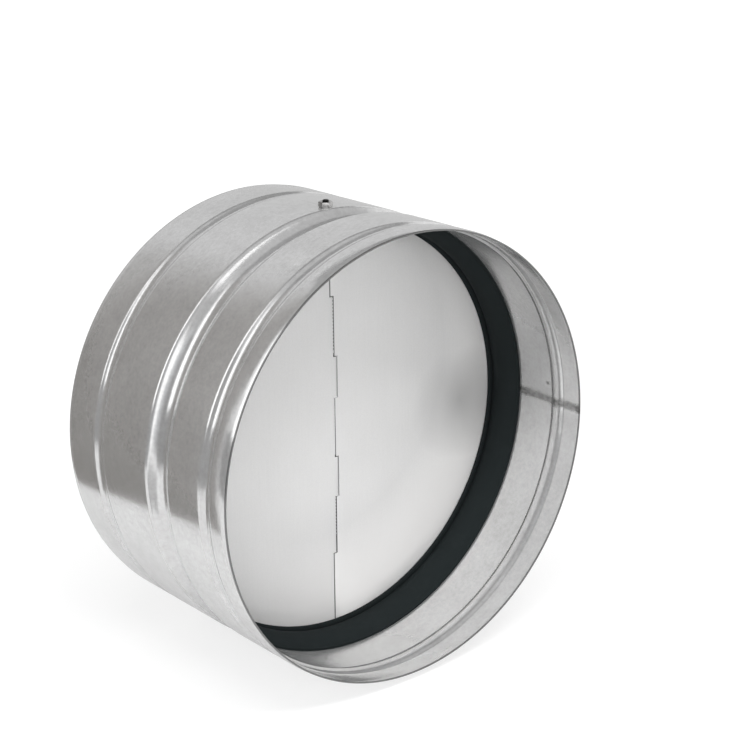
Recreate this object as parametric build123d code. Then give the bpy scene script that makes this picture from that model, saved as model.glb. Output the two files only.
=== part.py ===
from build123d import *

import math
import os

# Backdraft damper for a 200 mm round duct, in millimetres.
# Air flows along +Y, from the inlet rim at -Y to the outlet rim at +Y.
# The hinge axle stands along +Z. The origin is on the duct axis, halfway along the casing.

# Casing, a sleeve rolled from sheet
CASING_DIAMETER = 199.0
CASING_LENGTH = 116.0
CASING_SHEET = 0.7
RIM_LEAD_LENGTH = 3.0
RIM_LEAD_DROP = 0.4

# Lengthwise weld of the sleeve, a low ridge on its inside. The angle is from +Z towards +X
WELD_ANGLE = 90.0
WELD_WIDTH = 3.8
WELD_HEIGHT = 0.15

# Beads rolled inwards: distance of the centre from the inlet rim, width, depth and lip radius
BEAD_LIP_RADIUS = 3.0
INLET_BEAD_PLACE = 14.0
MAIN_BEAD_PLACE = 47.7
OUTLET_BEAD_PLACE = 91.7
SMALL_BEAD_WIDTH = 9.0
SMALL_BEAD_DEPTH = 1.3
MAIN_BEAD_WIDTH = 18.0
MAIN_BEAD_DEPTH = 4.5

# Axle: a rod with threaded ends, one nut outside the casing at each end
AXLE_PLACE = 59.2
AXLE_DIAMETER = 3.0
AXLE_END_BEYOND_NUT = 0.8
AXLE_HOLE_CLEARANCE = 0.1
NUT_ACROSS_FLATS = 5.5
NUT_HEIGHT = 2.4
NUT_CHAMFER = 0.35
NUT_TURN = -10.0
NUT_BORE_CLEARANCE = 0.02
NUT_SEAT_GAP = 0.03

# Blades: two half discs of sheet, with knuckles rolled round the axle
BLADE_WALL_GAP = 3.4
BLADE_SHEET = 0.5
BLADE_SETBACK = 4.0
SEAM_GAP = 1.2
KNUCKLE_CLEARANCE = 0.05
KNUCKLE_BEND_RADIUS = 1.2
KNUCKLE_END_ANGLE = 235.0
NOTCH_GAP = 0.15
STEP_GAP = 0.4
INNER_KNUCKLE_START = 14.0
INNER_KNUCKLE_END = 33.0
OUTER_KNUCKLE_START = 60.5
BLADE_END_MARGIN = 0.8

# Gasket: a band over the inside of the main bead, with a lip that the blades close on
GASKET_THICKNESS = 1.05
GASKET_SEAT_GAP = 0.05
GASKET_OVERLAP = 2.55
GASKET_LIP_THICKNESS = 1.15
GASKET_LIP_RIM_GAP = 1.1
GASKET_BLADE_GAP = 0.15

# Spacers: sleeves on the axle between the blades and the casing
SPACER_WALL = 0.5
SPACER_END_GAP = 0.15

# Springs: torsion springs round the axle, one leg on the back of each blade
SPRING_WIRE = 0.8
SPRING_WIRE_FLATS = 8
SPRING_AXLE_GAP = 0.15
SPRING_TURNS = 5
SPRING_LEG_REACH = 32.0
SPRING_SEAT_GAP = 0.05
SPRING_END_GAP = 0.1

# Sizes worked out from the ones above
CASING_RADIUS = CASING_DIAMETER / 2
INNER_RADIUS = CASING_RADIUS - CASING_SHEET
INLET_Y = -CASING_LENGTH / 2
AXLE_Y = INLET_Y + AXLE_PLACE
AXLE_RADIUS = AXLE_DIAMETER / 2
BLADE_FACE_Y = AXLE_Y - BLADE_SETBACK
BLADE_RADIUS = INNER_RADIUS - BLADE_WALL_GAP
KNUCKLE_INNER = AXLE_RADIUS + KNUCKLE_CLEARANCE
KNUCKLE_OUTER = KNUCKLE_INNER + BLADE_SHEET
OUTER_KNUCKLE_END = BLADE_RADIUS - BLADE_END_MARGIN
NUT_BASE_Z = CASING_RADIUS + NUT_SEAT_GAP
AXLE_HALF_LENGTH = NUT_BASE_Z + NUT_HEIGHT + AXLE_END_BEYOND_NUT
COIL_RADIUS = AXLE_RADIUS + SPRING_AXLE_GAP + SPRING_WIRE / 2

BEADS = (
    (INLET_BEAD_PLACE, SMALL_BEAD_WIDTH, SMALL_BEAD_DEPTH),
    (MAIN_BEAD_PLACE, MAIN_BEAD_WIDTH, MAIN_BEAD_DEPTH),
    (OUTLET_BEAD_PLACE, SMALL_BEAD_WIDTH, SMALL_BEAD_DEPTH),
)


def bead_form(width, depth):
    """Flank angle in radians and crest radius of a bead made of tangent arcs."""
    flank = 2 * math.atan(depth / (width / 2))
    crest = (width / 2) / math.sin(flank) - BEAD_LIP_RADIUS
    return flank, crest


def on_circle(centre, radius, angle):
    """Point at an angle in radians from straight down, seen with +Y to the right."""
    return (centre[0] + radius * math.sin(angle), centre[1] - radius * math.cos(angle))


def bead_edges(bead, inset):
    """The arcs of one bead, on the surface that lies a given inset below the outer skin."""
    place, width, depth = bead
    centre_y = INLET_Y + place
    flank, crest = bead_form(width, depth)
    crest_centre = (centre_y, CASING_RADIUS - depth + crest)
    crest_radius = crest + inset
    lip_radius = BEAD_LIP_RADIUS - inset
    front_flank = on_circle(crest_centre, crest_radius, -flank)
    back_flank = on_circle(crest_centre, crest_radius, flank)
    edges = []
    for side, start, end in ((-1, None, front_flank), (1, back_flank, None)):
        lip_centre = (centre_y + side * width / 2, CASING_RADIUS - BEAD_LIP_RADIUS)
        foot = (lip_centre[0], CASING_RADIUS - inset)
        middle = on_circle(lip_centre, -lip_radius, side * flank / 2)
        if side < 0:
            edges.append(ThreePointArc(foot, middle, end))
            edges.append(ThreePointArc(front_flank, on_circle(crest_centre, crest_radius, 0), back_flank))
        else:
            edges.append(ThreePointArc(start, middle, foot))
    return edges


def skin_edges(inset):
    """Lengthwise outline of the sleeve, from the inlet rim to the outlet rim."""
    rim_radius = CASING_RADIUS - RIM_LEAD_DROP - inset
    wall_radius = CASING_RADIUS - inset
    points = [(INLET_Y, rim_radius), (INLET_Y + RIM_LEAD_LENGTH, wall_radius)]
    edges = [Line(points[0], points[1])]
    last = points[1]
    for bead in BEADS:
        arcs = bead_edges(bead, inset)
        edges.append(Line(last, arcs[0] @ 0))
        edges.extend(arcs)
        last = arcs[-1] @ 1
    shoulder = (-INLET_Y - RIM_LEAD_LENGTH, wall_radius)
    edges.append(Line(last, shoulder))
    edges.append(Line(shoulder, (-INLET_Y, rim_radius)))
    return edges


def ring_from(edges, degrees=360):
    """Turn a closed outline, drawn as distance along Y against radius, round the duct axis."""
    face = Plane.YZ * make_face(edges)
    return revolve(face, axis=Axis.Y, revolution_arc=degrees)


def band_outline(outer_inset, inner_inset):
    """Closed outline between two surfaces that lie at given depths below the outer skin."""
    outer = skin_edges(outer_inset)
    inner = skin_edges(inner_inset)
    return outer + inner + [Line(outer[0] @ 0, inner[0] @ 0), Line(outer[-1] @ 1, inner[-1] @ 1)]


def weld_ridge(clearance):
    """The weld from the middle of the sheet inwards, grown by a clearance."""
    half_angle = math.degrees((WELD_WIDTH / 2 + clearance) / CASING_RADIUS)
    outline = band_outline(CASING_SHEET / 2, CASING_SHEET + WELD_HEIGHT + clearance)
    return Rot(0, WELD_ANGLE - half_angle, 0) * ring_from(outline, 2 * half_angle)


def casing():
    sleeve = Rot(0, WELD_ANGLE + 180, 0) * ring_from(band_outline(0, CASING_SHEET))
    hole = Cylinder(AXLE_RADIUS + AXLE_HOLE_CLEARANCE, 2 * AXLE_HALF_LENGTH)
    return sleeve + weld_ridge(0) - Pos(0, AXLE_Y, 0) * hole


def blade_gasket():
    flank, crest = bead_form(MAIN_BEAD_WIDTH, MAIN_BEAD_DEPTH)
    centre = (INLET_Y + MAIN_BEAD_PLACE, CASING_RADIUS - MAIN_BEAD_DEPTH + crest)
    outer_radius = crest + CASING_SHEET + GASKET_SEAT_GAP
    inner_radius = outer_radius + GASKET_THICKNESS
    lip_back = BLADE_FACE_Y - GASKET_BLADE_GAP
    lip_front = lip_back - GASKET_LIP_THICKNESS
    lip_rim = BLADE_RADIUS + GASKET_LIP_RIM_GAP
    lip_bore = BLADE_RADIUS - GASKET_OVERLAP
    outer_end = math.asin((lip_front - centre[0]) / outer_radius)
    inner_end = math.asin((lip_front - centre[0]) / inner_radius)
    outer_arc = ThreePointArc(
        on_circle(centre, outer_radius, -flank),
        on_circle(centre, outer_radius, 0),
        on_circle(centre, outer_radius, outer_end),
    )
    inner_arc = ThreePointArc(
        on_circle(centre, inner_radius, -flank),
        on_circle(centre, inner_radius, 0),
        on_circle(centre, inner_radius, inner_end),
    )
    lip = Polyline(outer_arc @ 1, (lip_back, lip_rim), (lip_back, lip_bore), (lip_front, lip_bore), inner_arc @ 1)
    front = Line(outer_arc @ 0, inner_arc @ 0)
    return ring_from([outer_arc, inner_arc, front] + lip.edges()) - weld_ridge(GASKET_SEAT_GAP)


def slab(x_low, x_high, z_low, z_high):
    """Sheet of blade thickness over a rectangle of the blades' plane."""
    block = Box(x_high - x_low, BLADE_SHEET, z_high - z_low)
    middle_x = (x_low + x_high) / 2
    middle_z = (z_low + z_high) / 2
    return Pos(middle_x, BLADE_FACE_Y + BLADE_SHEET / 2, middle_z) * block


def half_disc(side):
    """Flat half disc whose straight edge lies half a seam gap from the axle."""
    disc = Pos(0, BLADE_FACE_Y + BLADE_SHEET / 2, 0) * Rot(90, 0, 0) * Cylinder(BLADE_RADIUS, BLADE_SHEET)
    near = side * SEAM_GAP / 2
    far = side * CASING_RADIUS
    return disc & slab(min(near, far), max(near, far), -CASING_RADIUS, CASING_RADIUS)


def knuckle(side, z_low, z_high):
    """Tab that carries the sheet across the seam and rolls it round the axle.

    The sheet comes from the given side, turns back past the axle and closes behind it.
    """
    end = math.radians(KNUCKLE_END_ANGLE)
    bend_centre = (KNUCKLE_OUTER - KNUCKLE_BEND_RADIUS, KNUCKLE_BEND_RADIUS - BLADE_SETBACK)
    bend_inner = KNUCKLE_BEND_RADIUS - BLADE_SHEET

    def skin(bend, reach):
        root = (-SEAM_GAP, bend_centre[1] - bend)
        turn = (bend_centre[0], root[1])
        mid = math.sqrt(0.5) * bend
        eye_end = (reach * math.cos(end), reach * math.sin(end))
        eye_mid = (reach * math.cos(end / 2), reach * math.sin(end / 2))
        return [
            Line(root, turn),
            ThreePointArc(turn, (turn[0] + mid, bend_centre[1] - mid), (reach, bend_centre[1])),
            Line((reach, bend_centre[1]), (reach, 0)),
            ThreePointArc((reach, 0), eye_mid, eye_end),
        ]

    outer = skin(KNUCKLE_BEND_RADIUS, KNUCKLE_OUTER)
    inner = skin(bend_inner, KNUCKLE_INNER)
    ends = [Line(outer[0] @ 0, inner[0] @ 0), Line(outer[-1] @ 1, inner[-1] @ 1)]
    eye = extrude(make_face(outer + inner + ends), amount=z_high - z_low)
    if side > 0:
        eye = mirror(eye, about=Plane.YZ)
    return Pos(0, AXLE_Y, z_low) * eye


def notch(side, z_low, z_high):
    """Clearance in a blade for the other blade's knuckle."""
    far = side * (KNUCKLE_OUTER + NOTCH_GAP)
    return slab(min(0, far), max(0, far), z_low, z_high)


def left_blade():
    half_step = STEP_GAP / 2
    blade = half_disc(-1)
    for end in (-1, 1):
        inner = sorted((end * (INNER_KNUCKLE_START + half_step), end * (INNER_KNUCKLE_END - half_step)))
        outer = sorted((end * (OUTER_KNUCKLE_START - half_step), end * CASING_RADIUS))
        blade += knuckle(-1, *inner)
        blade -= notch(-1, *outer)
    return blade


def right_blade():
    half_step = STEP_GAP / 2
    blade = half_disc(1)
    for end in (-1, 1):
        inner = sorted((end * (INNER_KNUCKLE_START - half_step), end * (INNER_KNUCKLE_END + half_step)))
        outer = sorted((end * (OUTER_KNUCKLE_START + half_step), end * OUTER_KNUCKLE_END))
        blade -= notch(1, *inner)
        blade += knuckle(1, *outer)
    return blade


def axle():
    return Pos(0, AXLE_Y, 0) * Cylinder(AXLE_RADIUS, 2 * AXLE_HALF_LENGTH)


def axle_nut(end):
    corner_radius = NUT_ACROSS_FLATS / math.sqrt(3)
    body = extrude(RegularPolygon(corner_radius, 6, rotation=30 + NUT_TURN), amount=NUT_HEIGHT)
    barrel = Pos(0, 0, NUT_HEIGHT / 2) * Cylinder(corner_radius, NUT_HEIGHT)
    body &= chamfer(barrel.edges().group_by(Axis.Z)[-1], NUT_CHAMFER)
    body -= Cylinder(AXLE_RADIUS + NUT_BORE_CLEARANCE, 3 * NUT_HEIGHT)
    top = Pos(0, AXLE_Y, NUT_BASE_Z) * body
    return top if end > 0 else mirror(top, about=Plane.XY)


def axle_spacer(end):
    outer = AXLE_RADIUS + KNUCKLE_CLEARANCE + SPACER_WALL
    low = OUTER_KNUCKLE_END + SPACER_END_GAP
    high = math.sqrt(INNER_RADIUS**2 - outer**2) - SPACER_END_GAP
    sleeve = Cylinder(outer, high - low) - Cylinder(AXLE_RADIUS + KNUCKLE_CLEARANCE, high - low)
    return Pos(0, AXLE_Y, end * (low + high) / 2) * sleeve


def ring_heights(end):
    """Heights of a spring's two end turns: the left blade's and the right blade's."""
    to_wire = SPRING_END_GAP + SPRING_WIRE / 2
    left = INNER_KNUCKLE_END - STEP_GAP / 2 + to_wire
    right = OUTER_KNUCKLE_START + STEP_GAP / 2 - to_wire
    return end * left, end * right


def wire_section():
    """Section of the spring wire: flats in place of a round, so that the turns stay light."""
    return RegularPolygon(SPRING_WIRE / 2, SPRING_WIRE_FLATS)


def spring_leg(side, z):
    """End turn of a spring, with the straight leg that lies on the back of one blade."""
    start = Vector(0, -COIL_RADIUS, 0)
    seat = BLADE_SHEET + SPRING_WIRE / 2 + SPRING_SEAT_GAP - BLADE_SETBACK
    tip = Vector(side * SPRING_LEG_REACH, seat, 0)
    run = tip - start
    turn = revolve(Plane(start, z_dir=Vector(side, 0, 0)) * wire_section(), axis=Axis.Z, revolution_arc=360)
    leg = extrude(Plane(start, z_dir=run) * wire_section(), amount=run.length)
    return Pos(0, AXLE_Y, z) * (turn + leg)


def spring_coil(end):
    """The turns between a spring's two end turns."""
    left, right = ring_heights(end)
    step = SPRING_WIRE + SPRING_END_GAP
    low = min(left, right) + step
    height = abs(right - left) - 2 * step
    path = Helix(pitch=height / SPRING_TURNS, height=height, radius=COIL_RADIUS)
    section = Plane(path @ 0, z_dir=path % 0) * wire_section()
    return Pos(0, AXLE_Y, low) * sweep(section, path=path, is_frenet=True)


def build_parts():
    parts = {
        "casing": casing(),
        "blade_gasket": blade_gasket(),
        "left_blade": left_blade(),
        "right_blade": right_blade(),
        "axle": axle(),
    }
    for name, end in (("top", 1), ("bottom", -1)):
        parts[f"{name}_axle_nut"] = axle_nut(end)
        parts[f"{name}_axle_spacer"] = axle_spacer(end)
    for name, end in (("upper", 1), ("lower", -1)):
        left, right = ring_heights(end)
        parts[f"{name}_spring_coil"] = spring_coil(end)
        parts[f"{name}_spring_left_leg"] = spring_leg(-1, left)
        parts[f"{name}_spring_right_leg"] = spring_leg(1, right)
    return parts


os.makedirs("parts", exist_ok=True)
for node, shape in build_parts().items():
    export_step(shape, f"parts/{node}.step")
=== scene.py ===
import math
from contextlib import contextmanager

import bmesh
import bpy
from mathutils import Matrix, Vector


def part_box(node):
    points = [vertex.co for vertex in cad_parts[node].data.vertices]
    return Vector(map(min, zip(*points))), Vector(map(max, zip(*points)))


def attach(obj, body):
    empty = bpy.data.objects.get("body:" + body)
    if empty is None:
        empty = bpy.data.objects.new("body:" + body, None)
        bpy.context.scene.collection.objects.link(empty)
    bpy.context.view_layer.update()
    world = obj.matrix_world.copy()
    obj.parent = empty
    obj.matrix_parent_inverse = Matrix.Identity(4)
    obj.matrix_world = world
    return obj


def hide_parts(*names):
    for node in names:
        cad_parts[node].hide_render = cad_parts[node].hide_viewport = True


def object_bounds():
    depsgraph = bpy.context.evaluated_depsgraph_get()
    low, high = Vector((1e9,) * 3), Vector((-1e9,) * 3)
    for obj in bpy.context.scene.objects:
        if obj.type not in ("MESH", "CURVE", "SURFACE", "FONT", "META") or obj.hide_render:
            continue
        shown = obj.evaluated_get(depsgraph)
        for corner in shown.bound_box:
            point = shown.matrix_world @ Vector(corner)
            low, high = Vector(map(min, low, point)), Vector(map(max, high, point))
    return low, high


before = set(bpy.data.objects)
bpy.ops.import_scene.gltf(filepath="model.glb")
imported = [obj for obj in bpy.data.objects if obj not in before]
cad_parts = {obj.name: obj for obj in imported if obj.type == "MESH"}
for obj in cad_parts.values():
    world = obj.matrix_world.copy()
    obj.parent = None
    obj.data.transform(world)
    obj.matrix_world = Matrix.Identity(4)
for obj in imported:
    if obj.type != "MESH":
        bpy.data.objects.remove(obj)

# A backdraft damper for a round duct: a beaded sleeve of galvanised sheet, a rubber ring and two
# half-disc blades on an upright axle. Air flows along +Y, the axle stands along +Z.

MM = 0.001
CAD_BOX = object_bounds()

# Casing
CASING_LOW, CASING_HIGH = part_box("casing")
CASING_RADIUS = CASING_HIGH[0]
INLET_Y = CASING_LOW[1]
OUTLET_Y = CASING_HIGH[1]
CASING_SHEET = 0.7 * MM
RIM_LEAD_LENGTH = 3.0 * MM
RIM_LEAD_DROP = 0.4 * MM
RIM_ROUNDING = 0.12 * MM
BEAD_LIP_RADIUS = 3.0 * MM
INLET_BEAD = (14.0 * MM, 9.0 * MM, 1.3 * MM)
MAIN_BEAD = (47.7 * MM, 18.0 * MM, 4.5 * MM)
OUTLET_BEAD = (91.7 * MM, 9.0 * MM, 1.3 * MM)
ROUND_STEPS = 288
WELD_HALF_WIDTH = 1.9 * MM
WELD_HEIGHT = 0.12 * MM
WELD_ROUGHNESS = 0.06 * MM
WELD_CUTS = 5

# Axle, nuts and spacers
AXLE_Y = sum(point[1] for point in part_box("axle")) / 2
AXLE_RADIUS = 1.5 * MM
AXLE_END_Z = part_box("axle")[1][2]
AXLE_HOLE_RADIUS = 1.6 * MM
THREAD_LENGTH = 8.0 * MM
THREAD_PITCH = 0.5 * MM
THREAD_DEPTH = 0.31 * MM
THREAD_SUNK = 0.05 * MM
NUT_ACROSS_FLATS = 5.5 * MM
NUT_LOW_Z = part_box("top_axle_nut")[0][2]
NUT_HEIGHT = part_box("top_axle_nut")[1][2] - NUT_LOW_Z
NUT_CHAMFER = 0.35 * MM
NUT_TURN = math.radians(-10.0)
SPACER_LOW_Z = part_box("top_axle_spacer")[0][2]
SPACER_HIGH_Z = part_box("top_axle_spacer")[1][2]
SPACER_BORE_RADIUS = 1.55 * MM
SPACER_WALL = 0.5 * MM

# Blades
BLADE_FACE_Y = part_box("left_blade")[0][1]
BLADE_WALL_GAP = 3.4 * MM
BLADE_RADIUS = CASING_RADIUS - CASING_SHEET - BLADE_WALL_GAP
BLADE_SHEET = 0.5 * MM
BLADE_SETBACK = AXLE_Y - BLADE_FACE_Y
BLADE_EDGE_ROUNDING = 0.07 * MM
SEAM_GAP = 0.5 * MM
STEP_GAP = 0.4 * MM
NOTCH_REACH = 1.9 * MM
KNUCKLE_OUTER = 2.05 * MM
KNUCKLE_BEND_RADIUS = 1.2 * MM
KNUCKLE_END_ANGLE = math.radians(235.0)
INNER_KNUCKLE_START = 14.0 * MM
INNER_KNUCKLE_END = 33.0 * MM
OUTER_KNUCKLE_START = 60.5 * MM
OUTER_KNUCKLE_END = 94.6 * MM
SLIT_MIDDLE = (INNER_KNUCKLE_END + OUTER_KNUCKLE_START) / 2
SLIT_HALF_LENGTH = (OUTER_KNUCKLE_START - INNER_KNUCKLE_END) / 2

# Gasket
GASKET_THICKNESS = 1.05 * MM
GASKET_SEAT_GAP = 0.05 * MM
GASKET_LIP_RADIUS = 92.85 * MM
GASKET_LIP_THICKNESS = 1.15 * MM
GASKET_LIP_RIM_GAP = 1.1 * MM
GASKET_BLADE_GAP = 0.15 * MM
GASKET_ROUNDING = 0.3 * MM
GASKET_FRONT_ANGLE = math.radians(176.0)

# Springs
SPRING_WIRE = 0.8 * MM
SPRING_RADIUS = 2.05 * MM
SPRING_END_GAP = 0.1 * MM
SPRING_TURNS = 16
SPRING_LEG_REACH = 32.0 * MM
SPRING_SEAT = BLADE_FACE_Y + BLADE_SHEET + SPRING_WIRE / 2 + 0.05 * MM

# Tones
ZINC_DARK = 0.45
ZINC_LIGHT = 0.71
BURNT_ZINC = (0.06, 0.059, 0.057, 1)
# Where the dark band round both rims begins:
RIM_BAND_START = OUTLET_Y - 0.75 * MM
SPATTER = (98.5 * MM, INLET_Y + 20.4 * MM, 7.7 * MM)
BLADE_DARK = 0.61
BLADE_LIGHT = 0.70
# Tone of the painted light on the blades, towards their rim:
BLADE_PAINTED_LIGHT = 0.95
BLADE_METAL = 0.2
# Tone of the painted shade in the seam between the blades:
SEAM_PAINTED_SHADE = 0.07
# The point that the painted light on the blades grows away from:
PAINTED_LIGHT_MIDDLE = (-10 * MM, BLADE_FACE_Y, 25 * MM)
# Centre of a painted dark reflection on the right blade:
DARK_REFLECTION_SPOT = (75 * MM, BLADE_FACE_Y, -4 * MM)

# Set
FLOOR_Z = CAD_BOX[0][2]
FLOOR_TONE = 0.8
FLOOR_GLOW = 1.18
FLOOR_GLOW_SHARE = 0.6
FLOOR_MIRRORED = 0.45
ROOM_LIGHT = 0.47
SAME_PLACE = 0.002 * MM


# Making pieces by hand

def deselect_everything():
    bpy.ops.object.select_all(action="DESELECT")


def begin(name):
    """Name the primitive that was just added and put its place into its mesh."""
    piece = bpy.context.active_object
    piece.name = name
    piece.data.name = name
    bpy.ops.object.transform_apply(location=True, rotation=True, scale=True)
    return piece


@contextmanager
def editing(piece):
    deselect_everything()
    piece.select_set(True)
    bpy.context.view_layer.objects.active = piece
    bpy.ops.object.mode_set(mode="EDIT")
    bpy.ops.mesh.select_mode(type="VERT")
    yield
    bpy.ops.object.mode_set(mode="OBJECT")


def pick(piece, kind, test):
    """In edit mode, select only the vertices, edges or faces that pass a test."""
    bpy.ops.mesh.select_mode(type=kind)
    bpy.ops.mesh.select_all(action="DESELECT")
    shape = bmesh.from_edit_mesh(piece.data)
    items = {"VERT": shape.verts, "EDGE": shape.edges, "FACE": shape.faces}[kind]
    for item in items:
        if test(item):
            item.select_set(True)
    shape.select_flush_mode()
    bmesh.update_edit_mesh(piece.data)


def extrude(step):
    bpy.ops.mesh.extrude_region_move(TRANSFORM_OT_translate={"value": step})


def finish_with(piece, kind, **settings):
    """Add a modifier and apply it."""
    modifier = piece.modifiers.new(kind.title(), kind)
    for setting, value in settings.items():
        setattr(modifier, setting, value)
    bpy.context.view_layer.objects.active = piece
    bpy.ops.object.modifier_apply(modifier=modifier.name)


def cut(piece, tool, operation):
    """Boolean with another piece, which is then thrown away."""
    finish_with(piece, "BOOLEAN", object=tool, operation=operation, solver="EXACT")
    bpy.data.objects.remove(tool)


def merge_and_face_out():
    bpy.ops.mesh.select_all(action="SELECT")
    bpy.ops.mesh.remove_doubles(threshold=SAME_PLACE)
    bpy.ops.mesh.normals_make_consistent(inside=False)


def smooth(piece, degrees=35):
    deselect_everything()
    piece.select_set(True)
    bpy.context.view_layer.objects.active = piece
    bpy.ops.object.shade_smooth_by_angle(angle=math.radians(degrees))


def rod(name, radius, low, high):
    """Closed cylinder on the axle's line, for cutting with."""
    deselect_everything()
    bpy.ops.mesh.primitive_cylinder_add(
        vertices=48, radius=radius, depth=high - low, location=(0, AXLE_Y, (low + high) / 2))
    return begin(name)


def arc(centre, radius, start, end, steps):
    """Points on an arc. Angles are in radians from straight down, with +Y to the right."""
    points = []
    for step in range(steps + 1):
        angle = start + (end - start) * step / steps
        points.append((centre[0] + radius * math.sin(angle), centre[1] - radius * math.cos(angle)))
    return points


def turned(name, outline, axis, steps, closed=True):
    """Draw an outline of (along, radius) points and spin it round the duct axis or the axle."""
    if axis == "duct":
        points = [Vector((radius, along, 0)) for along, radius in outline]
        centre, direction = (0, 0, 0), (0, 1, 0)
    else:
        points = [Vector((radius, AXLE_Y, along)) for along, radius in outline]
        centre, direction = (0, AXLE_Y, 0), (0, 0, 1)
    if closed:
        points.append(points[0])
    deselect_everything()
    bpy.ops.mesh.primitive_plane_add(size=MM, location=points[0])
    piece = begin(name)
    with editing(piece):
        bpy.ops.mesh.select_all(action="SELECT")
        bpy.ops.mesh.merge(type="CENTER")
        for here, there in zip(points, points[1:]):
            extrude(there - here)
        bpy.ops.mesh.select_all(action="SELECT")
        bpy.ops.mesh.spin(steps=steps, angle=2 * math.pi, center=centre, axis=direction)
        merge_and_face_out()
    return piece


# Casing

def bead_form(bead):
    """Flank angle and crest radius of a bead made of tangent arcs."""
    _, width, depth = bead
    flank = 2 * math.atan(depth / (width / 2))
    crest = (width / 2) / math.sin(flank) - BEAD_LIP_RADIUS
    return flank, crest


def bead_outline(bead, lip_steps, crest_steps):
    place, width, depth = bead
    centre_y = INLET_Y + place
    flank, crest = bead_form(bead)
    lip_height = CASING_RADIUS - BEAD_LIP_RADIUS
    front = (centre_y - width / 2, lip_height)
    back = (centre_y + width / 2, lip_height)
    middle = (centre_y, CASING_RADIUS - depth + crest)
    points = arc(front, BEAD_LIP_RADIUS, math.pi, math.pi - flank, lip_steps)
    points += arc(middle, crest, -flank, flank, crest_steps)[1:]
    points += arc(back, BEAD_LIP_RADIUS, math.pi + flank, math.pi, lip_steps)[1:]
    return points


def casing_sleeve():
    rim_radius = CASING_RADIUS - RIM_LEAD_DROP
    outline = [(INLET_Y, rim_radius), (INLET_Y + RIM_LEAD_LENGTH, CASING_RADIUS)]
    outline += bead_outline(INLET_BEAD, 5, 8)
    outline += bead_outline(MAIN_BEAD, 10, 18)
    outline += bead_outline(OUTLET_BEAD, 5, 8)
    outline += [(OUTLET_Y - RIM_LEAD_LENGTH, CASING_RADIUS), (OUTLET_Y, rim_radius)]
    piece = turned("casing_sleeve", outline, "duct", ROUND_STEPS, closed=False)
    step_width = CASING_RADIUS * math.sin(2 * math.pi / ROUND_STEPS)
    with editing(piece):
        face_outwards(piece)
        pick(piece, "EDGE", lambda edge: is_weld_crossing(edge, step_width))
        bpy.ops.mesh.subdivide(number_cuts=WELD_CUTS)
    finish_with(piece, "SOLIDIFY", thickness=CASING_SHEET, offset=-1.0, use_even_offset=True)
    for end in (-1, 1):
        low, high = sorted((end * (CASING_RADIUS - 8 * MM), end * (CASING_RADIUS + MM)))
        cut(piece, rod("axle_hole", AXLE_HOLE_RADIUS, low, high), "DIFFERENCE")
    finish_with(piece, "BEVEL", width=RIM_ROUNDING, segments=2, limit_method="ANGLE",
                angle_limit=math.radians(60))
    raise_weld(piece)
    smooth(piece)
    return piece


def face_outwards(piece):
    """Turn an open sleeve's faces away from the duct axis."""
    bpy.ops.mesh.select_all(action="SELECT")
    shape = bmesh.from_edit_mesh(piece.data)
    shape.faces.ensure_lookup_table()
    face = shape.faces[0]
    middle = face.calc_center_median()
    if face.normal.dot(Vector((middle.x, 0, middle.z))) < 0:
        bpy.ops.mesh.flip_normals()


def is_weld_crossing(edge, step_width):
    """Whether an edge runs round the sleeve and touches the weld line at +X."""
    ends = [vertex.co for vertex in edge.verts]
    level = abs(ends[0].y - ends[1].y) < SAME_PLACE
    near = all(end.x > 0 and abs(end.z) < 1.5 * step_width for end in ends)
    touching = any(abs(end.z) < SAME_PLACE for end in ends)
    return level and near and touching


def raise_weld(piece):
    """A low, uneven ridge along the weld on the inside of the sleeve, left out under the gasket."""
    gasket_low, gasket_high = (point[1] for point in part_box("blade_gasket"))

    def is_ridge(vertex, half_width):
        place = vertex.co
        if place.x < 0 or abs(place.z) > half_width:
            return False
        if gasket_low - MM < place.y < gasket_high + MM:
            return False
        inward = vertex.normal.x < -0.3
        at_rim = place.y < INLET_Y + MM or place.y > OUTLET_Y - MM
        return inward and not at_rim

    with editing(piece):
        for share in (1.0, 0.75, 0.45):
            pick(piece, "VERT", lambda vertex: is_ridge(vertex, WELD_HALF_WIDTH * share))
            bpy.ops.transform.shrink_fatten(value=WELD_HEIGHT / 3)
        bpy.ops.transform.vertex_random(offset=WELD_ROUGHNESS, normal=1.0, seed=4)


# Gasket

def gasket_ring():
    flank, crest = bead_form(MAIN_BEAD)
    centre = (INLET_Y + MAIN_BEAD[0], CASING_RADIUS - MAIN_BEAD[2] + crest)
    outer_radius = crest + CASING_SHEET + GASKET_SEAT_GAP
    inner_radius = outer_radius + GASKET_THICKNESS
    lip_back = BLADE_FACE_Y - GASKET_BLADE_GAP
    lip_front = lip_back - GASKET_LIP_THICKNESS
    lip_rim = BLADE_RADIUS + GASKET_LIP_RIM_GAP
    outer_end = math.asin((lip_front - centre[0]) / outer_radius)
    inner_end = math.asin((lip_front - centre[0]) / inner_radius)
    front_lip = (centre[0] - MAIN_BEAD[1] / 2, CASING_RADIUS - BEAD_LIP_RADIUS)
    lip_outer = BEAD_LIP_RADIUS - CASING_SHEET - GASKET_SEAT_GAP
    outline = arc(front_lip, lip_outer, GASKET_FRONT_ANGLE, math.pi - flank, 6)
    outline += arc(centre, outer_radius, -flank, outer_end, 16)[1:]
    outline += [(lip_back, lip_rim), (lip_back, GASKET_LIP_RADIUS + GASKET_ROUNDING)]
    outline += [(lip_back - GASKET_ROUNDING, GASKET_LIP_RADIUS)]
    outline += [(lip_front + GASKET_ROUNDING, GASKET_LIP_RADIUS)]
    outline += [(lip_front, GASKET_LIP_RADIUS + GASKET_ROUNDING)]
    outline += arc(centre, inner_radius, inner_end, -flank, 16)
    outline += arc(front_lip, lip_outer - GASKET_THICKNESS, math.pi - flank, GASKET_FRONT_ANGLE, 6)[1:]
    piece = turned("gasket_ring", outline, "duct", ROUND_STEPS)
    smooth(piece, 50)
    return piece


# Blades

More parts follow.
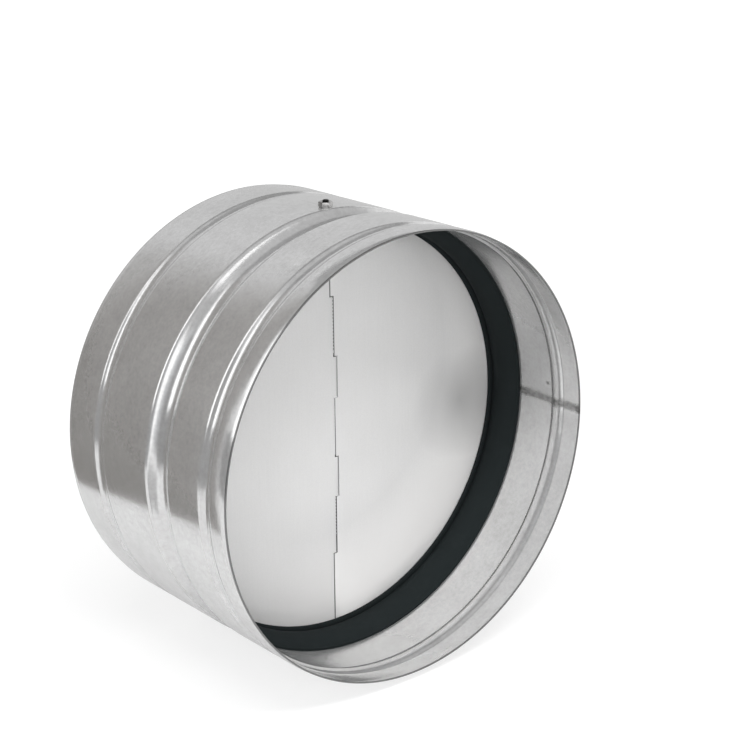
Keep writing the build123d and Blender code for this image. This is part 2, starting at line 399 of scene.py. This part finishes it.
def knuckle_path(side):
    """Steps of a knuckle's outer skin, from the seam across the axle and round it."""
    bend_centre = (KNUCKLE_OUTER - KNUCKLE_BEND_RADIUS, KNUCKLE_BEND_RADIUS - BLADE_SETBACK)
    path = [(-SEAM_GAP / 2, -BLADE_SETBACK)]
    for step in range(9):
        angle = math.radians(-90 + 90 * step / 8)
        path.append((bend_centre[0] + KNUCKLE_BEND_RADIUS * math.cos(angle),
                     bend_centre[1] + KNUCKLE_BEND_RADIUS * math.sin(angle)))
    for step in range(25):
        angle = KNUCKLE_END_ANGLE * step / 24
        path.append((KNUCKLE_OUTER * math.cos(angle), KNUCKLE_OUTER * math.sin(angle)))
    return [Vector((-side * x, y, 0)) for x, y in path]


def blade_leaf(name, side, knuckles, notches):
    """Half disc with knuckles rolled from its straight edge, drawn as a skin and then thickened."""
    deselect_everything()
    bpy.ops.mesh.primitive_circle_add(
        vertices=ROUND_STEPS, radius=BLADE_RADIUS, fill_type="NGON",
        location=(0, BLADE_FACE_Y, 0), rotation=(math.pi / 2, 0, 0))
    piece = begin(name)
    near = side * SEAM_GAP / 2
    notch_x = side * NOTCH_REACH
    bounds = {bound for pair in knuckles + notches for bound in pair}

    def in_spans(z, spans):
        return any(low < z < high for low, high in spans)

    def is_notch(face):
        middle = face.calc_center_median()
        return abs(middle.x) < abs(notch_x) and in_spans(middle.z, notches)

    def is_root(edge):
        ends = [vertex.co for vertex in edge.verts]
        middle_z = (ends[0].z + ends[1].z) / 2
        straight = all(abs(end.x - near) < SAME_PLACE for end in ends)
        return straight and in_spans(middle_z, knuckles)

    with editing(piece):
        bpy.ops.mesh.select_all(action="SELECT")
        bpy.ops.mesh.bisect(plane_co=(near, 0, 0), plane_no=(side, 0, 0), clear_inner=True)
        bpy.ops.mesh.select_all(action="SELECT")
        bpy.ops.mesh.bisect(plane_co=(notch_x, 0, 0), plane_no=(1, 0, 0))
        for bound in sorted(bounds):
            bpy.ops.mesh.select_all(action="SELECT")
            bpy.ops.mesh.bisect(plane_co=(0, 0, bound), plane_no=(0, 0, 1))
        pick(piece, "FACE", is_notch)
        bpy.ops.mesh.delete(type="FACE")
        pick(piece, "EDGE", is_root)
        path = knuckle_path(side)
        for here, there in zip(path, path[1:]):
            extrude(there - here)
        merge_and_face_out()
        shape = bmesh.from_edit_mesh(piece.data)
        widest = max(shape.faces, key=lambda face: face.calc_area())
        if widest.normal.y > 0:
            bpy.ops.mesh.flip_normals()
    finish_with(piece, "SOLIDIFY", thickness=BLADE_SHEET, offset=-1.0, use_even_offset=True)
    finish_with(piece, "BEVEL", width=BLADE_EDGE_ROUNDING, segments=2, limit_method="ANGLE",
                angle_limit=math.radians(60))
    smooth(piece)
    return piece


def spans(low, high, shrink):
    """A stretch above the middle and its mirror below, each end pulled in by the given amount."""
    return [(low + shrink, high - shrink), (-high + shrink, -low - shrink)]


def left_leaf():
    half_step = STEP_GAP / 2
    knuckles = spans(INNER_KNUCKLE_START, INNER_KNUCKLE_END, half_step)
    notches = spans(OUTER_KNUCKLE_START - half_step, CASING_RADIUS, 0)
    return blade_leaf("left_leaf", -1, knuckles, notches)


def right_leaf():
    half_step = STEP_GAP / 2
    knuckles = spans(OUTER_KNUCKLE_START + half_step, OUTER_KNUCKLE_END, 0)
    notches = spans(INNER_KNUCKLE_START, INNER_KNUCKLE_END, -half_step)
    trim = spans(OUTER_KNUCKLE_END, CASING_RADIUS, 0)
    return blade_leaf("right_leaf", 1, knuckles, notches + trim)


# Axle, nuts and spacers

def threaded_end(end):
    """A screw thread over one end of the axle, as a swept tooth on a core."""
    crest = AXLE_RADIUS
    root = AXLE_RADIUS - THREAD_DEPTH - THREAD_SUNK
    turns = round(THREAD_LENGTH / THREAD_PITCH)
    low = AXLE_END_Z - THREAD_LENGTH - THREAD_PITCH
    deselect_everything()
    tooth = [(root, 0.04), (crest, 0.42), (crest, 0.56), (root, 0.94), (root, 0.04)]
    points = [Vector((radius, 0, low + share * THREAD_PITCH)) for radius, share in tooth]
    bpy.ops.mesh.primitive_plane_add(size=MM, location=points[0])
    piece = begin("thread")
    with editing(piece):
        bpy.ops.mesh.select_all(action="SELECT")
        bpy.ops.mesh.merge(type="CENTER")
        for here, there in zip(points, points[1:]):
            extrude(there - here)
        merge_and_face_out()
    finish_with(piece, "SCREW", axis="Z", angle=2 * math.pi, screw_offset=THREAD_PITCH,
                iterations=turns, steps=24, render_steps=24, use_merge_vertices=True,
                merge_threshold=SAME_PLACE)
    with editing(piece):
        bpy.ops.mesh.select_all(action="SELECT")
        bpy.ops.transform.translate(value=(0, AXLE_Y, 0))
        bpy.ops.mesh.bisect(plane_co=(0, 0, AXLE_END_Z - 0.1 * MM), plane_no=(0, 0, 1), clear_outer=True)
        merge_and_face_out()
        bpy.ops.mesh.fill_holes(sides=0)
        merge_and_face_out()
    if end < 0:
        turn_over(piece)
    return piece


def turn_over(piece):
    """Turn a piece half round the duct axis, from the top of the damper to its bottom."""
    with editing(piece):
        bpy.ops.mesh.select_all(action="SELECT")
        bpy.ops.transform.rotate(value=math.pi, orient_axis="Y", center_override=(0, 0, 0))


def axle_rod():
    shoulder_z = AXLE_END_Z - THREAD_LENGTH
    core = AXLE_RADIUS - THREAD_DEPTH
    tip = 0.2 * MM
    outline = [(-AXLE_END_Z, 0), (-AXLE_END_Z, core - tip), (-AXLE_END_Z + tip, core)]
    outline += [(-shoulder_z - tip, core), (-shoulder_z, AXLE_RADIUS)]
    outline += [(shoulder_z, AXLE_RADIUS), (shoulder_z + tip, core)]
    outline += [(AXLE_END_Z - tip, core), (AXLE_END_Z, core - tip), (AXLE_END_Z, 0)]
    piece = turned("axle_rod", outline, "axle", 48, closed=False)
    threads = [threaded_end(1), threaded_end(-1)]
    deselect_everything()
    for thread in threads:
        thread.select_set(True)
    piece.select_set(True)
    bpy.context.view_layer.objects.active = piece
    bpy.ops.object.join()
    smooth(piece, 30)
    return piece


def hexagon_nut(name, end):
    corner_radius = NUT_ACROSS_FLATS / math.sqrt(3)
    deselect_everything()
    bpy.ops.mesh.primitive_cylinder_add(
        vertices=6, radius=corner_radius, depth=NUT_HEIGHT,
        location=(0, AXLE_Y, NUT_LOW_Z + NUT_HEIGHT / 2), rotation=(0, 0, NUT_TURN))
    piece = begin(name)
    chamfer_radius = corner_radius - 1.2 * NUT_CHAMFER
    barrel = [(NUT_LOW_Z, 0), (NUT_LOW_Z, chamfer_radius), (NUT_LOW_Z + NUT_CHAMFER, corner_radius * 1.01)]
    high = NUT_LOW_Z + NUT_HEIGHT
    barrel += [(high - NUT_CHAMFER, corner_radius * 1.01), (high, chamfer_radius), (high, 0)]
    cut(piece, turned("nut_barrel", barrel, "axle", 72, closed=False), "INTERSECT")
    bore = [(NUT_LOW_Z - MM, 0), (NUT_LOW_Z - MM, AXLE_RADIUS), (high - 0.25 * MM, AXLE_RADIUS)]
    bore += [(high + 0.25 * MM, AXLE_RADIUS + 0.5 * MM), (high + 0.25 * MM, 0)]
    cut(piece, turned("nut_bore", bore, "axle", 48, closed=False), "DIFFERENCE")
    finish_with(piece, "BEVEL", width=0.06 * MM, segments=2, limit_method="ANGLE",
                angle_limit=math.radians(40))
    if end < 0:
        turn_over(piece)
    smooth(piece, 30)
    return piece


def spacer_sleeve(name, end):
    inner = SPACER_BORE_RADIUS
    outer = inner + SPACER_WALL
    edge = 0.1 * MM
    outline = [(SPACER_LOW_Z, inner), (SPACER_LOW_Z, outer - edge), (SPACER_LOW_Z + edge, outer)]
    outline += [(SPACER_HIGH_Z - edge, outer), (SPACER_HIGH_Z, outer - edge), (SPACER_HIGH_Z, inner)]
    piece = turned(name, outline, "axle", 40)
    if end < 0:
        turn_over(piece)
    smooth(piece, 50)
    return piece


# Springs

def ring_heights(end):
    """Heights of a spring's two end turns: the left blade's and the right blade's."""
    to_wire = SPRING_END_GAP + SPRING_WIRE / 2
    left = INNER_KNUCKLE_END - STEP_GAP / 2 + to_wire
    right = OUTER_KNUCKLE_START + STEP_GAP / 2 - to_wire
    return end * left, end * right


def wire_end(location, direction):
    """A round face of wire, square to a direction."""
    turn = Vector((0, 0, 1)).rotation_difference(Vector(direction)).to_euler()
    deselect_everything()
    bpy.ops.mesh.primitive_circle_add(
        vertices=12, radius=SPRING_WIRE / 2, fill_type="NGON", location=location, rotation=turn)


def spring_leg(name, side, z):
    """The straight leg on the back of a blade and the end turn that it leaves."""
    tip = Vector((side * SPRING_LEG_REACH, SPRING_SEAT, z))
    turn_start = Vector((0, AXLE_Y - SPRING_RADIUS, z))
    wire_end(tip, turn_start - tip)
    piece = begin(name)
    with editing(piece):
        bpy.ops.mesh.select_all(action="SELECT")
        extrude(turn_start - tip)
        bpy.ops.mesh.spin(steps=40, angle=-side * math.radians(345), center=(0, AXLE_Y, z), axis=(0, 0, 1))
        merge_and_face_out()
    smooth(piece, 50)
    return piece


def spring_coil(name, end):
    """The turns between a spring's two end turns."""
    left, right = ring_heights(end)
    step = SPRING_WIRE + SPRING_END_GAP / 2
    low = min(left, right) + step
    height = abs(right - left) - 2 * step
    wire_end((SPRING_RADIUS, 0, 0), (0, 1, 0))
    piece = begin(name)
    finish_with(piece, "SCREW", axis="Z", angle=2 * math.pi, screw_offset=height / SPRING_TURNS,
                iterations=SPRING_TURNS, steps=28, render_steps=28)
    with editing(piece):
        bpy.ops.mesh.select_all(action="SELECT")
        bpy.ops.transform.translate(value=(0, AXLE_Y, low))
        bpy.ops.mesh.fill_holes(sides=0)
        merge_and_face_out()
    smooth(piece, 50)
    return piece


# Finishes

class Amount:
    """One output of a node, which can stand in a sum."""

    def __init__(self, finish, socket):
        self.finish = finish
        self.socket = socket

    def part(self, output):
        """Another output of the same node."""
        return Amount(self.finish, self.socket.node.outputs[output])

    def maths(self, operation, first, second=0.0):
        return self.finish.add("ShaderNodeMath", {"operation": operation}, {0: first, 1: second})

    def __add__(self, other):
        return self.maths("ADD", self, other)

    def __radd__(self, other):
        return self.maths("ADD", other, self)

    def __sub__(self, other):
        return self.maths("SUBTRACT", self, other)

    def __rsub__(self, other):
        return self.maths("SUBTRACT", other, self)

    def __mul__(self, other):
        return self.maths("MULTIPLY", self, other)

    def __rmul__(self, other):
        return self.maths("MULTIPLY", other, self)

    def __abs__(self):
        return self.maths("ABSOLUTE", self)


class Finish:
    """The nodes of a material or of the world."""

    def __init__(self, owner):
        owner.use_nodes = True
        self.owner = owner
        self.tree = owner.node_tree
        self.tree.nodes.clear()

    def add(self, kind, settings, values, output=0):
        """Add a node: its settings first, then the values or links of its sockets."""
        node = self.tree.nodes.new(kind)
        for setting, value in settings.items():
            setattr(node, setting, value)
        for key, value in values.items():
            if isinstance(value, Amount):
                self.tree.links.new(value.socket, node.inputs[key])
            else:
                node.inputs[key].default_value = value
        return Amount(self, node.outputs[output]) if node.outputs else None

    def place(self):
        """Object coordinates, in metres."""
        return self.add("ShaderNodeTexCoord", {}, {}, "Object")

    def along(self, place):
        """The three parts of a place."""
        x = self.add("ShaderNodeSeparateXYZ", {}, {0: place}, "X")
        return x, x.part("Y"), x.part("Z")

    def vector(self, x, y, z):
        return self.add("ShaderNodeCombineXYZ", {}, {0: x, 1: y, 2: z})

    def noise(self, where, scale, detail=2.0, roughness=0.5):
        values = {"Vector": where, "Scale": scale, "Detail": detail, "Roughness": roughness}
        return self.add("ShaderNodeTexNoise", {}, values)

    def cells(self, where, scale):
        return self.add("ShaderNodeTexVoronoi", {"feature": "SMOOTH_F1"}, {"Vector": where, "Scale": scale})

    def spread(self, amount, low, high, to_low=0.0, to_high=1.0):
        """Stretch the range low to high over the range to_low to to_high, and clamp it there."""
        values = {0: amount, 1: low, 2: high, 3: to_low, 4: to_high}
        return self.add("ShaderNodeMapRange", {"clamp": True}, values)

    def colour_mix(self, share, first, second):
        return self.add("ShaderNodeMix", {"data_type": "RGBA"}, {0: share, 6: first, 7: second}, 2)

    def shader_mix(self, share, first, second):
        return self.add("ShaderNodeMixShader", {}, {0: share, 1: first, 2: second})

    def relief(self, height, distance, **under):
        return self.add("ShaderNodeBump", {}, {"Height": height, "Distance": distance, **under})

    def shine(self, tone):
        """Light that a surface of the set gives off by itself."""
        return self.add("ShaderNodeEmission", {}, {"Color": tone, "Strength": 1.0})

    def seen(self, mirrored=1.0):
        """1 for what the camera sees, a given share for what shiny or clear surfaces show, else 0."""
        path = self.add("ShaderNodeLightPath", {}, {}, "Is Camera Ray")
        return path + mirrored * (path.part("Is Glossy Ray") + path.part("Is Transmission Ray"))

    def surface(self, **sockets):
        values = {key.replace("_", " "): value for key, value in sockets.items()}
        shader = self.add("ShaderNodeBsdfPrincipled", {}, values)
        self.add("ShaderNodeOutputMaterial", {}, {"Surface": shader})
        return self.owner


def grey(value, warmth=0.0):
    """A light grey, a little warm or cold."""
    return (value * (1 + warmth), value, value * (1 - warmth), 1)


def galvanised_sheet():
    """Zinc-coated sheet: faint crystals and grain, rolling lines round the sleeve, a heat-marked weld at +X."""
    finish = Finish(bpy.data.materials.new("galvanised_sheet"))
    place = finish.place()
    x, y, z = finish.along(place)
    round_angle = finish.add("ShaderNodeMath", {"operation": "ARCTAN2"}, {0: z, 1: -1.0 * x})
    on_sheet = finish.vector(round_angle * CASING_RADIUS, y, 0.0)
    drawn_out = finish.vector(round_angle * CASING_RADIUS * 0.04, y, 0.0)
    grain = finish.noise(on_sheet, 1100, detail=3, roughness=0.65)
    flecks = finish.noise(on_sheet, 620, detail=2, roughness=0.6)
    crystals = finish.cells(on_sheet, 300)
    clouds = finish.noise(on_sheet, 30, detail=4, roughness=0.6)
    lines = finish.noise(drawn_out, 1300, detail=4, roughness=0.7)
    specks = finish.noise(on_sheet, 2600, detail=1)
    tone = 0.3 * finish.spread(clouds, 0.3, 0.7) + 0.3 * finish.spread(flecks, 0.3, 0.7) \
        + 0.15 * finish.spread(crystals, 0.1, 0.6) + 0.25 * finish.spread(specks, 0.3, 0.7)
    colour = finish.colour_mix(tone, grey(ZINC_DARK, 0.004), grey(ZINC_LIGHT, -0.002))
    # A dark band round both rims.
    from_middle = abs(y)
    dark_rim_band = finish.spread(from_middle, RIM_BAND_START, RIM_BAND_START + 0.3 * MM)
    colour = finish.colour_mix(dark_rim_band, colour, grey(0.16))
    burnt = weld_heat(finish, place, x, y, z)
    colour = finish.colour_mix(burnt, colour, BURNT_ZINC)
    roughness = 0.10 + 0.07 * clouds + 0.07 * grain + 0.3 * burnt
    fine = finish.relief(0.5 * grain + 0.3 * lines + 0.9 * flecks, 0.012 * MM)
    swell = finish.relief(clouds, 0.12 * MM, Normal=fine)
    metal = 0.72 - 0.2 * burnt
    return finish.surface(Base_Color=colour, Metallic=metal, Roughness=roughness, Normal=swell)


def weld_heat(finish, place, x, y, z):
    """How far the zinc is burnt: a blotchy streak along the weld, and one small spatter above it."""
    ragged = finish.noise(place, 420, detail=3, roughness=0.6)
    from_weld = abs(z) + (ragged - 0.5) * (4 * MM)
    streak = finish.spread(from_weld, 0.9 * MM, 2.7 * MM, 1.0, 0.0)
    scale_marks = finish.spread(finish.noise(place, 480, detail=2), 0.38, 0.6)
    blotches = finish.spread(finish.noise(finish.vector(x, y * 0.4, z), 190, detail=2), 0.4, 0.56)
    streak = streak * (0.45 + 0.25 * scale_marks + 0.3 * blotches)
    off_spatter = finish.add("ShaderNodeVectorMath", {"operation": "DISTANCE"}, {0: place, 1: SPATTER}, "Value")
    spatter = finish.spread(off_spatter, 0.5 * MM, 1.2 * MM, 0.75, 0.0)
    return (streak + spatter) * finish.spread(x, 0.0, 10 * MM)


def blade_sheet():
    """Plain mill-finish sheet with faint upright grain and soft cloudy patches, painted light towards the rim, a
    painted dark reflection on the right blade and painted shade along the seam.
    """
    finish = Finish(bpy.data.materials.new("blade_sheet"))
    place = finish.place()
    x, y, z = finish.along(place)
    grain = finish.noise(finish.vector(x, y, z * 0.03), 1100, detail=4, roughness=0.7)
    fine = finish.noise(place, 1700, detail=2, roughness=0.6)
    clouds = finish.noise(finish.vector(x, y, z * 0.6), 22, detail=3, roughness=0.55)
    tone = 0.45 * finish.spread(clouds, 0.3, 0.7) + 0.2 * finish.spread(grain, 0.3, 0.7) \
        + 0.35 * finish.spread(fine, 0.3, 0.7)
    colour = finish.colour_mix(tone, grey(BLADE_DARK, 0.004), grey(BLADE_LIGHT, 0.002))
    # Painted light: the blades turn paler the farther they are from a point above the middle, towards the rim,
    # mostly on the right half.
    off_rim = finish.add("ShaderNodeVectorMath", {"operation": "DISTANCE"}, {0: place, 1: PAINTED_LIGHT_MIDDLE}, "Value")
    painted_light = finish.spread(off_rim, 75 * MM, 112 * MM) * finish.spread(x, -60 * MM, 0.0)
    colour = finish.colour_mix(painted_light, colour, grey(BLADE_PAINTED_LIGHT, 0.01))
    # A painted dark reflection: a soft dark patch on the front face of the right blade.
    off_dark_reflection = finish.add("ShaderNodeVectorMath", {"operation": "DISTANCE"}, {0: place, 1: DARK_REFLECTION_SPOT}, "Value")
    painted_dark_reflection = finish.spread(off_dark_reflection + 0.02 * clouds, 12 * MM, 40 * MM, 0.8, 0.0)
    on_front = finish.spread(y, BLADE_FACE_Y + 0.2 * MM, BLADE_FACE_Y + 0.3 * MM, 1.0, 0.0)
    colour = finish.colour_mix(painted_dark_reflection * on_front, colour, grey(0.40))
    # Painted shade: where the seam is open, a thin strip along the blades' straight edges is darkened as if shadow
    # showed through the slit.
    open_seam = finish.spread(abs(abs(z) - SLIT_MIDDLE), SLIT_HALF_LENGTH, SLIT_HALF_LENGTH + 0.1 * MM, 0.8, 0.0) \
        + finish.spread(abs(z), INNER_KNUCKLE_START - 0.1 * MM, INNER_KNUCKLE_START, 0.6, 0.0)
    slit_shade = finish.spread(abs(x), 0.36 * MM, 0.46 * MM, 1.0, 0.0)
    colour = finish.colour_mix(open_seam * slit_shade, colour, grey(SEAM_PAINTED_SHADE))
    # Painted shade: the knuckles beside the seam, behind the front face and in front of the axle, are darkened as
    # if in shadow.
    seam_crease_shade = finish.spread(abs(x), NOTCH_REACH, NOTCH_REACH + 0.08 * MM, 1.0, 0.0)
    behind_face = finish.spread(y, BLADE_FACE_Y + 0.05 * MM, BLADE_FACE_Y + 0.12 * MM)
    before_axle = finish.spread(y, AXLE_Y - 1.5 * MM, AXLE_Y, 1.0, 0.0)
    colour = finish.colour_mix(seam_crease_shade * behind_face * before_axle, colour, grey(SEAM_PAINTED_SHADE))
    roughness = 0.44 + 0.08 * clouds + 0.05 * grain
    relief = finish.relief(0.35 * grain + 0.5 * fine, 0.0025 * MM)
    return finish.surface(Base_Color=colour, Metallic=BLADE_METAL, Roughness=roughness, Normal=relief)


def gasket_rubber():
    """Matt black rubber with a fine moulded skin and a little dust."""
    finish = Finish(bpy.data.materials.new("gasket_rubber"))
    place = finish.place()
    skin = finish.noise(place, 2400, detail=3, roughness=0.6)
    dust = finish.spread(finish.noise(place, 90, detail=5, roughness=0.7), 0.5, 0.8)
    colour = finish.colour_mix(dust * 0.25, (0.013, 0.0165, 0.0172, 1), (0.023, 0.027, 0.028, 1))
    roughness = 0.84 + 0.1 * skin
    relief = finish.relief(skin, 0.01 * MM)
    return finish.surface(Base_Color=colour, Roughness=roughness, Specular_IOR_Level=0.08, Normal=relief)


def machined_steel(name, light, dark, low_roughness, scale):
    """Turned or drawn steel with fine lines along its height and darker stains."""
    finish = Finish(bpy.data.materials.new(name))
    place = finish.place()
    x, y, z = finish.along(place)
    lines = finish.noise(finish.vector(x, y, z * 6.0), scale, detail=3, roughness=0.6)
    stains = finish.spread(finish.noise(place, scale / 5, detail=3), 0.35, 0.7)
    tone = 0.4 * lines + 0.6 * stains
    colour = finish.colour_mix(tone, grey(light, 0.01), grey(dark, 0.02))
    roughness = low_roughness + 0.15 * stains
    relief = finish.relief(lines, 0.004 * MM)
    return finish.surface(Base_Color=colour, Metallic=1.0, Roughness=roughness, Normal=relief)


# Set, light and camera

def stage_floor():
    """A pale floor, which to the camera and in reflections is nearly as white as the room."""
    deselect_everything()
    bpy.ops.mesh.primitive_plane_add(size=14.0, location=(0, 0, FLOOR_Z))
    piece = begin("studio_floor")
    finish = Finish(bpy.data.materials.new("pale_floor"))
    lit = finish.add("ShaderNodeBsdfDiffuse", {}, {"Color": grey(FLOOR_TONE)})
    white = finish.shine(grey(FLOOR_GLOW))
    x, y, z = finish.along(finish.place())
    far_off = finish.add("ShaderNodeVectorMath", {"operation": "LENGTH"}, {0: finish.vector(x, y, 0.0)}, "Value")
    share = finish.spread(far_off, 0.25, 1.2, FLOOR_GLOW_SHARE, 0.95)
    both = finish.shader_mix(finish.seen(FLOOR_MIRRORED) * share, lit, white)
    finish.add("ShaderNodeOutputMaterial", {}, {"Surface": both})
    piece.data.materials.append(finish.owner)


def card(name, middle, turn, size, start_tone, end_tone, fade=(0.0, 1.0)):
    """A card that only reflections see. Its tone changes along its width."""
    deselect_everything()
    bpy.ops.mesh.primitive_plane_add(size=1.0, location=middle, rotation=turn)
    piece = bpy.context.active_object
    piece.scale = (*size, 1)
    begin(name)
    finish = Finish(bpy.data.materials.new(name + "_tone"))
    across, up, off = finish.along(finish.add("ShaderNodeTexCoord", {}, {}, "UV"))
    faded = finish.spread(across, *fade)
    tone = finish.shader_mix(faded, finish.shine(start_tone), finish.shine(end_tone))
    finish.add("ShaderNodeOutputMaterial", {}, {"Surface": tone})
    piece.data.materials.append(finish.owner)
    piece.visible_camera = False
    piece.visible_diffuse = False
    piece.visible_shadow = False
    piece.visible_transmission = False


def standing_card(name, start, end, foot_z, height, start_tone, end_tone, fade=(0.0, 1.0)):
    """A card that stands upright between two places on the floor."""
    run = Vector(end) - Vector(start)
    middle = (Vector(start) + Vector(end)) / 2
    turn = (math.pi / 2, 0, math.atan2(run.y, run.x))
    card(name, (*middle, foot_z + height / 2), turn, (run.length, height), start_tone, end_tone, fade)


def hanging_card(name, low, high, height, tone):
    """A level card between two corners."""
    size = (high[0] - low[0], high[1] - low[1])
    middle = ((high[0] + low[0]) / 2, (high[1] + low[1]) / 2, height)
    card(name, middle, (0, 0, 0), size, tone, tone)


def softbox(name, location, size, power):
    """A soft light that faces the part. Surfaces that mirror it show the cards instead."""
    light = bpy.data.lights.new(name, "AREA")
    light.shape = "RECTANGLE"
    light.size, light.size_y = size
    light.energy = power
    lamp = bpy.data.objects.new(name, light)
    bpy.context.collection.objects.link(lamp)
    lamp.location = location
    lamp.visible_glossy = False
    lamp.rotation_euler = Vector(location).to_track_quat("Z", "Y").to_euler()


def studio_world():
    """Soft light from all round. To the camera and in reflections the room is white."""
    world = bpy.data.worlds.new("studio_world")
    finish = Finish(world)
    soft = finish.add("ShaderNodeBackground", {}, {"Color": grey(1.0), "Strength": ROOM_LIGHT})
    white = finish.add("ShaderNodeBackground", {}, {"Color": grey(1.0), "Strength": 1.0})
    both = finish.shader_mix(finish.seen(), soft, white)
    finish.add("ShaderNodeOutputWorld", {}, {"Surface": both})
    bpy.context.scene.world = world


CAMERA_PLACE = Vector((-0.46878, -0.59189, 0.27411))
CAMERA_AZIMUTH = math.radians(-39.88)
CAMERA_ELEVATION = math.radians(18.357)
CAMERA_ROLL = math.radians(-0.488)
CAMERA_LENS = 86.47


def camera():
    back = Vector((
        math.sin(CAMERA_AZIMUTH) * math.cos(CAMERA_ELEVATION),
        -math.cos(CAMERA_AZIMUTH) * math.cos(CAMERA_ELEVATION),
        math.sin(CAMERA_ELEVATION),
    ))
    right = (-back).cross(Vector((0, 0, 1))).normalized()
    up = right.cross(-back)
    level = math.cos(CAMERA_ROLL)
    lean = math.sin(CAMERA_ROLL)
    rolled_right = level * right + lean * up
    rolled_up = level * up - lean * right
    lens = bpy.data.cameras.new("photo_camera")
    lens.lens = CAMERA_LENS
    lens.sensor_width = 36.0
    lens.clip_start = 0.01
    lens.clip_end = 50.0
    holder = bpy.data.objects.new("photo_camera", lens)
    bpy.context.collection.objects.link(holder)
    turn = Matrix((rolled_right, rolled_up, back)).transposed().to_4x4()
    holder.matrix_world = Matrix.Translation(CAMERA_PLACE) @ turn
    bpy.context.scene.camera = holder


def fit(piece, body, node, finish):
    """Dress a finished piece and let it stand for its CAD node."""
    piece.data.materials.clear()
    piece.data.materials.append(finish)
    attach(piece, body)
    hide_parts(node)


def build():
    zinc_sheet = galvanised_sheet()
    leaf_sheet = blade_sheet()
    rubber = gasket_rubber()
    # The steel of the axle, spacers and springs is nearly black: painted shade, so that what shows through the
    # seam looks dark.
    axle_steel = machined_steel("axle_steel", 0.05, 0.03, 0.35, 900)
    nut_zinc = machined_steel("nut_zinc", 0.62, 0.3, 0.24, 700)
    spring_steel = machined_steel("spring_steel", 0.03, 0.018, 0.35, 1200)
    fit(casing_sleeve(), "casing", "casing", zinc_sheet)
    fit(gasket_ring(), "casing", "blade_gasket", rubber)
    fit(left_leaf(), "left_blade", "left_blade", leaf_sheet)
    fit(right_leaf(), "right_blade", "right_blade", leaf_sheet)
    fit(axle_rod(), "casing", "axle", axle_steel)
    for name, end in (("top", 1), ("bottom", -1)):
        nut = hexagon_nut(f"{name}_nut", end)
        fit(nut, "casing", f"{name}_axle_nut", nut_zinc)
        spacer = spacer_sleeve(f"{name}_spacer", end)
        fit(spacer, "casing", f"{name}_axle_spacer", axle_steel)
    for name, end in (("upper", 1), ("lower", -1)):
        left, right = ring_heights(end)
        coil = spring_coil(f"{name}_coil", end)
        fit(coil, "casing", f"{name}_spring_coil", spring_steel)
        leg = spring_leg(f"{name}_left_leg", -1, left)
        fit(leg, "left_blade", f"{name}_spring_left_leg", spring_steel)
        leg = spring_leg(f"{name}_right_leg", 1, right)
        fit(leg, "right_blade", f"{name}_spring_right_leg", spring_steel)


def light_and_stage():
    stage_floor()
    dark = grey(0.11, 0.15)
    light = grey(0.64)
    standing_card("left_card", (-0.216, 0.085), (0.088, 0.519), FLOOR_Z, 0.6, dark, light, (0.24, 0.575))
    standing_card("back_card", (-0.06, 1.17), (1.16, 0.73), FLOOR_Z, 1.1, light, light)
    standing_card("low_card", (-0.42, 0.291), (-0.529, -0.088), FLOOR_Z, 0.2, grey(0.08), grey(0.08))
    standing_card("strip_light", (-0.952, 0.49), (-1.071, 0.164), 0.1, 2.1, grey(2.2), grey(2.2))
    standing_card("front_card", (-0.830, 0.081), (-0.677, -0.472), FLOOR_Z, 0.85,
                  grey(0.03), grey(0.75, -0.03), (0.38, 1.0))
    standing_card("near_light", (-0.66, -0.5), (-0.35, -0.75), FLOOR_Z, 0.6, grey(1.7), grey(1.7))
    hanging_card("dark_ceiling", (-0.62, 0.2), (1.1, 0.95), 1.0, grey(0.1))
    hanging_card("grey_ceiling", (-1.1, -1.3), (-0.42, -0.05), 1.0, grey(0.3))
    hanging_card("middle_ceiling", (-0.38, -0.6), (1.2, 0.2), 1.0, grey(0.42))
    hanging_card("bright_ceiling", (-0.38, -1.25), (1.2, -0.6), 1.0, grey(1.6))
    hanging_card("floor_card", (-0.43, -0.295), (-0.21, -0.045), FLOOR_Z + MM, grey(0.5))
    softbox("left_softbox", (-1.1, -0.1, 0.5), (1.9, 1.0), 7.5)
    softbox("front_softbox", (-0.25, -0.6, 1.18), (1.2, 0.4), 18.0)
    softbox("low_softbox", (-0.15, -1.2, 0.2), (1.2, 0.5), 3.5)
    studio_world()
    bpy.context.scene.view_settings.view_transform = "Standard"


build()
light_and_stage()
camera()
